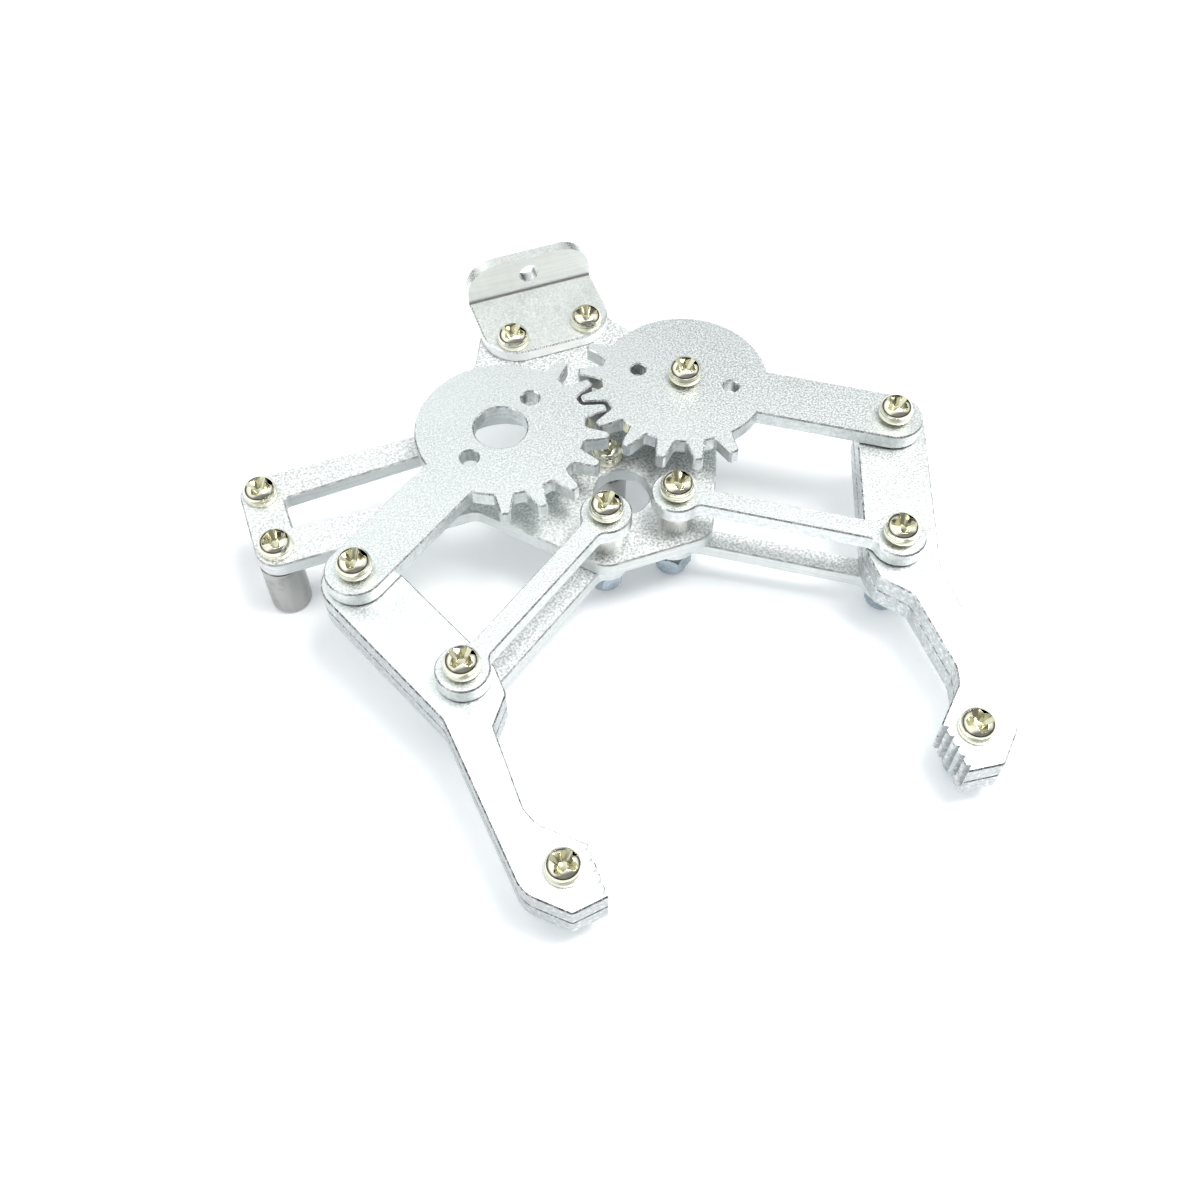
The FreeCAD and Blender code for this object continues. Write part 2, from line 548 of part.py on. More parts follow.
# ---------------------------------------------------------------- finger plates
def make_finger_plate(label, side):
    """One finger plate, its origin on the arm pivot; inward is towards the other finger."""
    s = "" if side == "left" else "-"
    sx = 1.0 if side == "left" else -1.0
    body = new_body(label)
    sk = new_sketch(body, "end_sketch")
    circle(sk, "fin_end_rad")
    pad(body, sk, "Dims.finger_thk", "round_end")
    sk = new_sketch(body, "outline_sketch")

    def flip(alias):
        return s + alias

    pts = [(flip("fin_%sx" % k), "fin_%sy" % k) for k in "abcdefghijkl"]
    polygon(sk, pts)
    pad(body, sk, "Dims.finger_thk", "blade")

    def at(k):
        return (sx * D["fin_%sx" % k], D["fin_%sy" % k])

    round_corners(body, [at("b")], "fin_bulge_round", "bulge_round")
    round_corners(body, [at("k"), at("e"), at("f")], "fin_neck_round", "neck_rounds")
    round_corners(body, [at("c")], "fin_corner_round", "corner_round")
    round_corners(body, [at("i"), at("d")], "fin_tip_round", "tip_rounds")
    round_corners(body, [at("j")], "fin_heel_round", "heel_round")
    px = flip("pivot_in")
    tx = flip("tip_in")
    holes(body, [("fixed_hole_rad", None, None), ("fixed_hole_rad", px, "-pivot_fwd"), ("fixed_hole_rad", tx, "-tip_fwd")], "screw_holes")
    break_edges(body)
    # gripping notches along the inner tip face
    before = settle(body).Volume
    sk = new_sketch(body, "notch_sketch")
    ny = D["fin_gy"] - 0.65
    xg = sx * D["fin_gx"]
    deep, wide = D["notch_deep"], D["notch_half"]
    loose_polygon(sk, [V(xg + sx * 0.4, ny + wide * 1.3, 0), V(xg - sx * deep, ny, 0), V(xg + sx * 0.4, ny - wide * 1.3, 0)])
    notch = cut_through(body, sk, "notch")
    doc.recompute()
    row = body.newObject("PartDesign::LinearPattern", "notches")
    row.Originals = [notch]
    row.Direction = (origin_item(body, "Y_Axis"), [""])
    row.Reversed = True
    row.Length = (D["notch_count"] - 1) * D["notch_pitch"]
    row.setExpression("Length", "(Dims.notch_count - 1) * Dims.notch_pitch")
    row.Occurrences = int(D["notch_count"])
    row.setExpression("Occurrences", "Dims.notch_count")
    row.Refine = True
    body.Tip = row
    if settle(body).Volume > before - 3.0:
        raise ValueError("notches missing on " + label)
    return body


# ---------------------------------------------------------------- fasteners
def make_screw(label, length_alias):
    """Pan-head cross-recess screw, seat of the head at local Z 0, shank downwards."""
    body = new_body(label)
    sk = new_sketch(body, "profile", "XZ_Plane")
    r, hr, ht, hs, fr = D["screw_rad"], D["head_rad"], D["head_tall"], D["head_side"], D["head_flat_rad"]
    L = D[length_alias]
    edge = 0.25
    pts = [V(0, -L, 0), V(r - edge, -L, 0), V(r, -L + edge, 0), V(r, 0, 0), V(hr, 0, 0), V(hr, hs, 0)]
    for a, b in zip(pts[:-1], pts[1:]):
        sk.addGeometry(Part.LineSegment(a, b), False)
    mid = V(hr - 0.42 * (hr - fr), hs + 0.74 * (ht - hs), 0)
    sk.addGeometry(Part.Arc(V(hr, hs, 0), mid, V(fr, ht, 0)), False)
    sk.addGeometry(Part.LineSegment(V(fr, ht, 0), V(0, ht, 0)), False)
    sk.addGeometry(Part.LineSegment(V(0, ht, 0), V(0, -L, 0)), False)
    rev = body.newObject("PartDesign::Revolution", "turned")
    rev.Profile = sk
    rev.ReferenceAxis = (origin_item(body, "Z_Axis"), [""])
    rev.Angle = 360.0
    before = settle(body).Volume
    cross = new_sketch(body, "cross_sketch", "XY_Plane", "Dims.head_tall")
    h, w = D["cross_half"], D["cross_wide"]
    g = loose_polygon(cross, [V(h, -w, 0), V(h, w, 0), V(w, w, 0), V(w, h, 0), V(-w, h, 0), V(-w, w, 0),
                              V(-h, w, 0), V(-h, -w, 0), V(-w, -w, 0), V(-w, -h, 0), V(w, -h, 0), V(w, -w, 0)])
    p = body.newObject("PartDesign::Pocket", "cross_recess")
    p.Profile = cross
    p.setExpression("Length", "Dims.cross_deep")
    if settle(body).Volume > before - 1.0:
        raise ValueError("recess cut nothing in " + label)
    return body


def make_nut(label):
    """Lock nut hanging from its seat at local Z 0: hexagon above, round collar below."""
    body = new_body(label)
    sk = new_sketch(body, "hex_sketch")
    rad = D["nut_flat"] / math.sqrt(3.0)
    vec = [V(rad * math.cos(math.radians(60 * k)), rad * math.sin(math.radians(60 * k)), 0) for k in range(6)]
    loose_polygon(sk, vec)
    p = pad(body, sk, "Dims.nut_hex_tall", "hexagon")
    p.Reversed = True
    sk = new_sketch(body, "collar_sketch")
    circle(sk, "nut_collar_rad")
    p = pad(body, sk, "Dims.nut_tall", "collar")
    p.Reversed = True
    shape = settle(body)
    tip = body.Tip
    names = []
    for i, e in enumerate(tip.Shape.Edges, start=1):
        if abs(e.BoundBox.ZMax + D["nut_tall"]) < 1e-6 and e.BoundBox.ZLength < 1e-6:
            names.append("Edge%d" % i)
    f = body.newObject("PartDesign::Fillet", "collar_round")
    f.Base = (tip, names)
    f.setExpression("Radius", "Dims.nut_collar_round")
    before = settle(body).Volume
    sk = new_sketch(body, "bore_sketch")
    circle(sk, "screw_rad")
    p = body.newObject("PartDesign::Pocket", "bore")
    p.Profile = sk
    p.Type = "ThroughAll"
    if settle(body).Volume > before - 5.0:
        raise ValueError("bore cut nothing in " + label)
    return body


def make_tube(label, outer, inner, length):
    """Plain round tube standing on local Z 0."""
    body = new_body(label)
    sk = new_sketch(body, "ring_sketch")
    circle(sk, outer)
    circle(sk, inner)
    pad(body, sk, length, "tube")
    settle(body)
    return body


def make_standoff(label):
    """Round post on local Z 0 with a blind screw bore at each end."""
    body = new_body(label)
    sk = new_sketch(body, "post_sketch")
    circle(sk, "standoff_rad")
    pad(body, sk, "Dims.standoff_len", "post")
    settle(body)
    tip = body.Tip
    names = []
    for i, e in enumerate(tip.Shape.Edges, start=1):
        if e.BoundBox.ZLength < 1e-6:
            names.append("Edge%d" % i)
    c = body.newObject("PartDesign::Chamfer", "edge_break")
    c.Base = (tip, names)
    c.setExpression("Size", "Dims.standoff_edge")
    before = settle(body).Volume
    sk = new_sketch(body, "foot_bore_sketch")
    circle(sk, "foot_bore_rad")
    p = body.newObject("PartDesign::Pocket", "foot_bore")
    p.Profile = sk
    p.Reversed = True
    p.setExpression("Length", "Dims.standoff_foot_bore")
    middle = settle(body).Volume
    sk = new_sketch(body, "top_bore_sketch", "XY_Plane", "Dims.standoff_len")
    circle(sk, "screw_rad")
    p = body.newObject("PartDesign::Pocket", "top_bore")
    p.Profile = sk
    p.setExpression("Length", "Dims.standoff_top_bore")
    after = settle(body).Volume
    if middle > before - 5.0 or after > middle - 5.0:
        raise ValueError("bores missing in " + label)
    return body


def group(label, items):
    """Several equal loose pieces kept together as one sub-part."""
    g = doc.addObject("Part::Compound", label)
    g.Label = label
    g.Links = items
    doc.recompute()
    return g


# fixed fasteners of the base
bx, by = D["br_screw_x"], GY + D["br_screw_y"]
parts = []
for k, sx in enumerate((-1, 1), start=1):
    b = make_screw("bracket_screw_%d" % k, "len_bracket_screw")
    put(b, sx * bx, by, Z0 + D["br_thk"], 12.0 + 31.0 * k)
    parts.append(b)
nodes.append(group("bracket_screws", parts))
parts = []
for k, sx in enumerate((-1, 1), start=1):
    b = make_nut("bracket_nut_%d" % k)
    put(b, sx * bx, by, Z0 - D["plate_thk"], 17.0 * k)
    parts.append(b)
nodes.append(group("bracket_nuts", parts))

corners = [(D["sv_far_x"], D["servo_half"]), (D["sv_far_x"], -D["servo_half"]),
           (D["sv_near_x"], D["servo_half"]), (D["sv_near_x"], -D["servo_half"])]
parts = []
for k, (x, y) in enumerate(corners, start=1):
    b = make_screw("servo_screw_%d" % k, "len_servo_screw")
    put(b, x, GY + y, Z0, 20.0 + 37.0 * k)
    parts.append(b)
nodes.append(group("servo_screws", parts))
parts = []
for k, (x, y) in enumerate(corners, start=1):
    b = make_standoff("servo_standoff_%d" % k)
    put(b, x, GY + y, Z0 - D["plate_thk"] - D["standoff_len"])
    parts.append(b)
nodes.append(group("servo_standoffs", parts))

axle = make_screw("gear_axle_screw", "len_axle_screw")
put(axle, HALF, GY, HEAD_SEAT, 25.0)
spacer = make_tube("gear_axle_spacer", "spacer_rad", "fixed_hole_rad", "Dims.spacer_len - Dims.play")
put(spacer, HALF, GY, Z0)
nut = make_nut("gear_axle_nut")
put(nut, HALF, GY, Z0 - D["plate_thk"], 8.0)
nodes += [axle, spacer, nut]

screws, spacers, nuts = [], [], []
for k, side in enumerate(("left", "right"), start=1):
    x, y = inner_pivot(side)
    b = make_screw("link_pivot_screw_%d" % k, "len_link_screw")
    put(b, x, y, HEAD_SEAT, 40.0 * k)
    screws.append(b)
    b = make_tube("link_spacer_%d" % k, "spacer_rad", "fixed_hole_rad", "Dims.spacer_len - Dims.play")
    put(b, x, y, Z0)
    spacers.append(b)
    b = make_nut("link_pivot_nut_%d" % k)
    put(b, x, y, Z_LOW - D["play"] - D[side + "_nut_drop"], 10.0 + 23.0 * k)
    nuts.append(b)
nodes.append(group("link_pivot_screws", screws))
nodes.append(group("link_spacers", spacers))
nodes.append(group("link_pivot_nuts", nuts))

# fingers with the screws they carry
for k, side in enumerate(("left", "right"), start=1):
    x, y = arm_pivot(side)
    upper = make_finger_plate(side + "_finger_upper_plate", side)
    put(upper, x, y, FINGER_MID)
    lower = make_finger_plate(side + "_finger_lower_plate", side)
    put(lower, x, y, FINGER_LOW)
    s1 = make_screw(side + "_arm_pivot_screw", "len_arm_screw")
    put(s1, x, y, HEAD_SEAT, 15.0 + 50.0 * k)
    n1 = make_nut(side + "_arm_pivot_nut")
    put(n1, x, y, FINGER_LOW, 5.0 * k)
    x2, y2 = link_pivot(side)
    s2 = make_screw(side + "_link_end_screw", "len_link_screw")
    put(s2, x2, y2, HEAD_SEAT, 33.0 * k)
    n2 = make_nut(side + "_link_end_nut")
    put(n2, x2, y2, Z_LOW - D["play"], 14.0 * k)
    x3, y3 = tip_point(side)
    s3 = make_screw(side + "_tip_screw", "len_tip_screw")
    put(s3, x3, y3, FINGER_TOP, 8.0 + 36.0 * k)
    n3 = make_nut(side + "_tip_nut")
    put(n3, x3, y3, FINGER_LOW, 21.0 * k)
    nodes += [upper, lower, s1, n1, s2, n2, s3, n3]

# ---------------------------------------------------------------- checks and files
doc.recompute()
for obj in doc.Objects:
    if any(word in obj.State for word in ("Invalid", "Error")):
        raise RuntimeError("failed object: %s (%s) %s" % (obj.Name, obj.Label, obj.State))
labels = [n.Label for n in nodes]
if len(set(labels)) != len(labels):
    raise RuntimeError("labels repeat")
for n in nodes:
    if n.Shape.isNull() or not n.Shape.isValid() or not n.Shape.Solids:
        raise RuntimeError("bad shape: " + n.Label)
os.makedirs("parts", exist_ok=True)
total = 0.0
for n in nodes:
    n.Shape.exportStep(os.path.join("parts", n.Label + ".step"))
    total += n.Shape.Volume
    print("%-28s solids %d volume %8.2f" % (n.Label, len(n.Shape.Solids), n.Shape.Volume))
print("nodes", len(nodes), "volume", round(total, 1))
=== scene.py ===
import math

import bmesh
import bpy
from mathutils import Matrix, Vector


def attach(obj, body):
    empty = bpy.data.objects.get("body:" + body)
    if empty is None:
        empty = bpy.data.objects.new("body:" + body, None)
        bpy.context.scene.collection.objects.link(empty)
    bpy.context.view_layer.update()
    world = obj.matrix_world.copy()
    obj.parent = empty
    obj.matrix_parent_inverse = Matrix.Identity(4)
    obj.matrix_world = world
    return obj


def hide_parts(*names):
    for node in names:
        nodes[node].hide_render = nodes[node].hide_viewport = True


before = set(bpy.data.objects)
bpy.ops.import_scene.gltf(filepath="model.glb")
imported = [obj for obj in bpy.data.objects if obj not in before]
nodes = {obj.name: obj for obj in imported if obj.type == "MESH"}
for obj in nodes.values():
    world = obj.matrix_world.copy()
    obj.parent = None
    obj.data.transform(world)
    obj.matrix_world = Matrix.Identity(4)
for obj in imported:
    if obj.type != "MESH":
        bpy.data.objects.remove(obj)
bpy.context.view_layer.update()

MM = 0.001
scene = bpy.context.scene

# ------------------------------------------------------------------ places (mm, row frame)
GY, ZT = -32.0, -5.2
GX = 14.25
PHI = math.radians(56.3)
ARM = 31.0
Z_UP = ZT + 4.0
SEAT = Z_UP + 2.5 + 0.6
F_TOP = Z_UP - 0.25
F_LOW = F_TOP - 6.0
L_NUT = ZT - 2.5 - 0.1 - 2.5 - 0.1
SIDES = {"left": -1.0, "right": 1.0}


def arm_pivot(s):
    return s * (GX + ARM * math.sin(PHI)), GY - ARM * math.cos(PHI)


# ------------------------------------------------------------------ material helpers
class Graph:
    """Small helper that adds nodes to one material and links them."""

    def __init__(self, name):
        self.mat = bpy.data.materials.new(name)
        self.mat.use_nodes = True
        self.nt = self.mat.node_tree
        self.nt.nodes.clear()
        self.out = self.add("ShaderNodeOutputMaterial")
        self.bsdf = self.add("ShaderNodeBsdfPrincipled")
        self.link(self.bsdf.outputs["BSDF"], self.out.inputs["Surface"])
        self.tc = self.add("ShaderNodeTexCoord")
        self.geo = self.add("ShaderNodeNewGeometry")

    def add(self, kind, **props):
        n = self.nt.nodes.new(kind)
        for k, v in props.items():
            setattr(n, k, v)
        return n

    def link(self, a, b):
        self.nt.links.new(a, b)

    def math(self, op, a, b=None, clamp=False):
        n = self.add("ShaderNodeMath", operation=op, use_clamp=clamp)
        for i, v in enumerate((a, b)):
            if v is None:
                continue
            if isinstance(v, (int, float)):
                n.inputs[i].default_value = v
            else:
                self.link(v, n.inputs[i])
        return n.outputs[0]

    def ramp(self, value, lo, hi, to_lo=0.0, to_hi=1.0):
        n = self.add("ShaderNodeMapRange", interpolation_type="SMOOTHSTEP")
        self.link(value, n.inputs["Value"])
        n.inputs["From Min"].default_value = lo
        n.inputs["From Max"].default_value = hi
        n.inputs["To Min"].default_value = to_lo
        n.inputs["To Max"].default_value = to_hi
        return n.outputs["Result"]

    def noise(self, scale, detail=2.0, rough=0.5, stretch=None, offset=(0, 0, 0)):
        m = self.add("ShaderNodeMapping")
        self.link(self.tc.outputs["Object"], m.inputs["Vector"])
        m.inputs["Location"].default_value = offset
        if stretch:
            m.inputs["Scale"].default_value = stretch
        n = self.add("ShaderNodeTexNoise")
        self.link(m.outputs["Vector"], n.inputs["Vector"])
        n.inputs["Scale"].default_value = scale
        n.inputs["Detail"].default_value = detail
        n.inputs["Roughness"].default_value = rough
        return n.outputs["Fac"]

    def mix(self, fac, a, b):
        n = self.add("ShaderNodeMix", data_type="RGBA", blend_type="MIX")
        if isinstance(fac, (int, float)):
            n.inputs[0].default_value = fac
        else:
            self.link(fac, n.inputs[0])
        for idx, v in ((6, a), (7, b)):
            if isinstance(v, tuple):
                n.inputs[idx].default_value = (*v, 1.0) if len(v) == 3 else v
            else:
                self.link(v, n.inputs[idx])
        return n.outputs[2]

    def bump(self, height, strength, distance, normal=None):
        n = self.add("ShaderNodeBump")
        self.link(height, n.inputs["Height"])
        if isinstance(strength, (int, float)):
            n.inputs["Strength"].default_value = strength
        else:
            self.link(strength, n.inputs["Strength"])
        n.inputs["Distance"].default_value = distance
        if normal is not None:
            self.link(normal, n.inputs["Normal"])
        return n.outputs["Normal"]


def blasted_alloy(name, tint, grain, depth, rough, cut_wall_and_lit_upright_tint, walls=1.0, contrast=1.0, pits=0.0, rim_dark=0.70, metal=1.0, nicks=0.6, crease_shade_at=None):
    """Blasted, clear-anodised aluminium: grainy faces, bright broken edges, smoother cut walls. On the bent sheet the
    wall tint is painted light: it makes the upright face brighter than the flange.
    """
    g = Graph(name)
    sep = g.add("ShaderNodeSeparateXYZ")
    g.link(g.geo.outputs["True Normal"], sep.inputs[0])
    up = g.math("ABSOLUTE", sep.outputs["Z"])
    wall = g.math("MULTIPLY", g.ramp(up, 0.15, 0.35, 1.0, 0.0), walls)
    rim = g.math("MULTIPLY", g.ramp(up, 0.2, 0.45), g.ramp(up, 0.9, 0.985, 1.0, 0.0))
    fine = g.noise(grain, 1.0, 0.6)
    coarse = g.noise(grain * 0.30, 3.0, 0.6, offset=(0.3, 0.1, 0.2))
    glint = g.noise(grain * 0.8, 0.0, 0.5, offset=(0.55, 0.25, 0.85))
    cloud = g.noise(70.0, 2.0, 0.5, offset=(0.7, 0.4, 0.1))
    speck = g.ramp(fine, 0.34, 0.66)
    lo = 1.0 - 0.24 * contrast
    hi = 1.0 + 0.12 * contrast
    face = g.mix(speck, tuple(c * lo for c in tint), tuple(min(1.0, c * hi) for c in tint))
    face = g.mix(g.math("MULTIPLY", g.ramp(glint, 0.66, 0.74), 0.75 * contrast), face, (0.99, 0.995, 0.99))
    face = g.mix(g.ramp(cloud, 0.3, 0.75), face, g.mix(0.5, face, tuple(min(1.0, c * 1.05) for c in tint)))
    # cut walls: faint lines along the outline and a few dark nicks
    lines = g.noise(420.0, 3.0, 0.7, stretch=(0.35, 0.35, 9.0), offset=(0.2, 0.9, 0.5))
    drag = g.noise(900.0, 2.0, 0.6, stretch=(1.0, 1.0, 0.12), offset=(0.5, 0.2, 0.8))
    wall_col = g.mix(g.ramp(lines, 0.3, 0.7), tuple(c * 0.90 for c in cut_wall_and_lit_upright_tint), tuple(min(1.0, c * 1.06) for c in cut_wall_and_lit_upright_tint))
    wall_col = g.mix(g.math("MULTIPLY", g.ramp(drag, 0.45, 0.75), 0.25), wall_col, tuple(c * 0.8 for c in cut_wall_and_lit_upright_tint))
    nick = g.ramp(g.noise(330.0, 4.0, 0.75, stretch=(1.0, 1.0, 2.2), offset=(0.15, 0.65, 0.35)), 0.70, 0.76)
    wall_col = g.mix(g.math("MULTIPLY", nick, nicks), wall_col, (0.20, 0.20, 0.195))
    if pits > 0.0:
        pit = g.noise(1700.0, 2.0, 0.6, offset=(0.45, 0.05, 0.75))
        wall_col = g.mix(g.math("MULTIPLY", g.ramp(pit, 0.52, 0.62), 0.75 * pits), wall_col, tuple(c * 0.55 for c in cut_wall_and_lit_upright_tint))
        wall_col = g.mix(g.math("MULTIPLY", g.ramp(pit, 0.44, 0.37), 0.80 * pits), wall_col, (0.97, 0.975, 0.97))
    rim_col = g.mix(g.ramp(coarse, 0.38, 0.62), tuple(c * rim_dark for c in tint), (0.99, 0.99, 0.985))
    col = g.mix(wall, face, wall_col)
    col = g.mix(rim, col, rim_col)
    if crease_shade_at:
        # painted shade darkening the crease, which runs along X
        at = g.add("ShaderNodeSeparateXYZ")
        g.link(g.tc.outputs["Object"], at.inputs[0])
        off_y = g.math("ABSOLUTE", g.math("SUBTRACT", at.outputs["Y"], crease_shade_at[0]))
        off_z = g.math("ABSOLUTE", g.math("SUBTRACT", at.outputs["Z"], crease_shade_at[1]))
        crease_shade = g.math("MULTIPLY", g.ramp(off_y, 0.00013, 0.00032, 1.0, 0.0), g.ramp(off_z, 0.00012, 0.00060, 1.0, 0.0))
        col = g.mix(g.math("MULTIPLY", crease_shade, 0.62), col, (0.27, 0.275, 0.285))
    g.link(col, g.bsdf.inputs["Base Color"])
    r_face = g.math("ADD", rough, g.math("MULTIPLY", g.math("SUBTRACT", speck, 0.5), 0.16))
    r_mix = g.math("SUBTRACT", r_face, g.math("MULTIPLY", wall, 0.05))
    r_mix = g.math("SUBTRACT", r_mix, g.math("MULTIPLY", rim, 0.12), clamp=True)
    g.link(r_mix, g.bsdf.inputs["Roughness"])
    body = g.math("ADD", g.math("MULTIPLY", fine, 0.8), g.math("MULTIPLY", coarse, 0.5))
    amount = g.math("SUBTRACT", 1.0, g.math("MULTIPLY", wall, 0.6))
    nrm = g.bump(body, g.math("MULTIPLY", amount, depth), 0.00008)
    nrm = g.bump(lines, g.math("MULTIPLY", wall, 0.10), 0.00005, nrm)
    g.link(nrm, g.bsdf.inputs["Normal"])
    g.bsdf.inputs["Metallic"].default_value = metal
    return g.mat


def turned_metal(name, tint, dark, rough, ring_scale, ring_stretch, bump):
    """Plated turned or pressed steel with fine tool lines and a little soiling."""
    g = Graph(name)
    line = g.noise(ring_scale, 2.0, 0.6, stretch=ring_stretch)
    spot = g.noise(900.0, 3.0, 0.6, offset=(0.3, 0.8, 0.2))
    soil = g.noise(260.0, 3.0, 0.65, offset=(0.9, 0.1, 0.6))
    col = g.mix(g.ramp(line, 0.3, 0.7), tuple(c * 0.92 for c in tint), tint)
    col = g.mix(g.math("MULTIPLY", g.ramp(soil, 0.52, 0.78), 0.55), col, dark)
    g.link(col, g.bsdf.inputs["Base Color"])
    r = g.math("ADD", rough, g.math("MULTIPLY", g.math("SUBTRACT", spot, 0.5), 0.14))
    r = g.math("ADD", r, g.math("MULTIPLY", g.ramp(soil, 0.5, 0.8), 0.12), clamp=True)
    g.link(r, g.bsdf.inputs["Roughness"])
    g.link(g.bump(g.math("ADD", line, g.math("MULTIPLY", spot, 0.6)), bump, 0.00003), g.bsdf.inputs["Normal"])
    g.bsdf.inputs["Metallic"].default_value = 1.0
    return g.mat


def nylon(name):
    g = Graph(name)
    n = g.noise(700.0, 3.0, 0.6)
    g.link(g.mix(g.ramp(n, 0.3, 0.7), (0.62, 0.68, 0.74), (0.74, 0.79, 0.83)), g.bsdf.inputs["Base Color"])
    g.link(g.math("ADD", 0.42, g.math("MULTIPLY", n, 0.12)), g.bsdf.inputs["Roughness"])
    g.link(g.bump(n, 0.15, 0.00005), g.bsdf.inputs["Normal"])
    return g.mat


M_PLATE = blasted_alloy("alloy_blasted", (0.78, 0.82, 0.81), 3900.0, 0.45, 0.42, (0.71, 0.74, 0.738), contrast=0.85, pits=0.35)
M_CAST = blasted_alloy("alloy_coarse", (0.83, 0.865, 0.85), 2700.0, 0.70, 0.52, (0.70, 0.728, 0.724), contrast=1.5, metal=0.92)
M_FINGER = blasted_alloy("alloy_finger", (0.88, 0.915, 0.905), 4000.0, 0.40, 0.42, (0.52, 0.545, 0.555), contrast=0.6, pits=0.45, rim_dark=0.34)
# Bent sheet: painted light and shade on one surface, with the flange tint set darker and the upright's wall tint near
# white; the crease argument paints shade along the inside of the fold.
M_SHEET = blasted_alloy("alloy_satin_sheet", (0.745, 0.782, 0.752), 3600.0, 0.26, 0.42, (0.985, 1.0, 0.99), contrast=0.5, rim_dark=1.0, metal=0.72, nicks=0.0, crease_shade_at=(-2.14 * MM, -3.30 * MM))
M_SCREW = turned_metal("nickel_bright", (0.90, 0.875, 0.72), (0.34, 0.30, 0.16), 0.07, 500.0, (1.0, 1.0, 6.0), 0.08)
# darker, browner plating inside the driver recess: painted shade
M_RECESS_SHADE = turned_metal("nickel_recess_painted_shade", (0.70, 0.675, 0.50), (0.15, 0.13, 0.07), 0.14, 800.0, (1.0, 1.0, 1.0), 0.25)
M_NUT = turned_metal("zinc_bluish", (0.43, 0.505, 0.565), (0.20, 0.235, 0.28), 0.26, 420.0, (1.0, 1.0, 4.0), 0.14)
# the standoff posts get a far darker nickel than the spacers: painted shade for the dark underside of the plate they
# face
M_POST_SHADED = turned_metal("nickel_satin_painted_shade", (0.385, 0.39, 0.378), (0.18, 0.18, 0.168), 0.15, 900.0, (1.0, 1.0, 0.10), 0.22)
M_SPACER = turned_metal("nickel_spacer", (0.60, 0.605, 0.575), (0.36, 0.36, 0.335), 0.24, 900.0, (1.0, 1.0, 0.10), 0.15)
M_NYLON = nylon("nylon_insert")

# ------------------------------------------------------------------ carried-over CAD nodes
PLATES = ["drive_gear", "driven_gear", "left_upper_link", "right_upper_link"]
CASTS = ["base_plate", "left_lower_link", "right_lower_link"]
FINGERS = ["left_finger_upper_plate", "left_finger_lower_plate", "right_finger_upper_plate", "right_finger_lower_plate"]


def dress(name, mat):
    o = nodes[name]
    o.data.materials.clear()
    o.data.materials.append(mat)


for n in PLATES:
    dress(n, M_PLATE)
for n in CASTS:
    dress(n, M_CAST)
for n in FINGERS:
    dress(n, M_FINGER)
dress("wrist_bracket", M_SHEET)
dress("servo_standoffs", M_POST_SHADED)
for n in ("gear_axle_spacer", "link_spacers"):
    dress(n, M_SPACER)


# ------------------------------------------------------------------ fasteners
def new_object(name, mesh):
    o = bpy.data.objects.new(name, mesh)
    scene.collection.objects.link(o)
    return o


def lathe(profile, segs):
    """Closed solid of revolution about Z; profile runs from the axis to the axis, in mm."""
    bm = bmesh.new()
    rings = []
    for r, z in profile:
        if r < 1e-6:
            rings.append([bm.verts.new((0, 0, z))])
        else:
            rings.append([bm.verts.new((r * math.cos(2 * math.pi * k / segs), r * math.sin(2 * math.pi * k / segs), z)) for k in range(segs)])
    for a, b in zip(rings[:-1], rings[1:]):
        for k in range(segs):
            j = (k + 1) % segs
            if len(a) == 1:
                bm.faces.new((a[0], b[j], b[k]))
            elif len(b) == 1:
                bm.faces.new((a[k], a[j], b[0]))
            else:
                bm.faces.new((a[k], a[j], b[j], b[k]))
    bmesh.ops.recalc_face_normals(bm, faces=bm.faces)
    return bm


def cross_solid(top_z, bottom_z):
    """Tapered cross-shaped plug that cuts the driver recess."""
    bm = bmesh.new()

    def loop(h, w, c, z):
        pts = [(h, -w), (h, w), (c, c), (w, h), (-w, h), (-c, c), (-h, w), (-h, -w), (-c, -c), (-w, -h), (w, -h), (c, -c)]
        return [bm.verts.new((x, y, z)) for x, y in pts]

    top = loop(2.30, 0.49, 0.87, top_z)
    low = loop(0.60, 0.20, 0.33, bottom_z)
    bm.faces.new(top)
    bm.faces.new(list(reversed(low)))
    n = len(top)
    for i in range(n):
        bm.faces.new((top[i], low[i], low[(i + 1) % n], top[(i + 1) % n]))
    bmesh.ops.recalc_face_normals(bm, faces=bm.faces)
    return bm


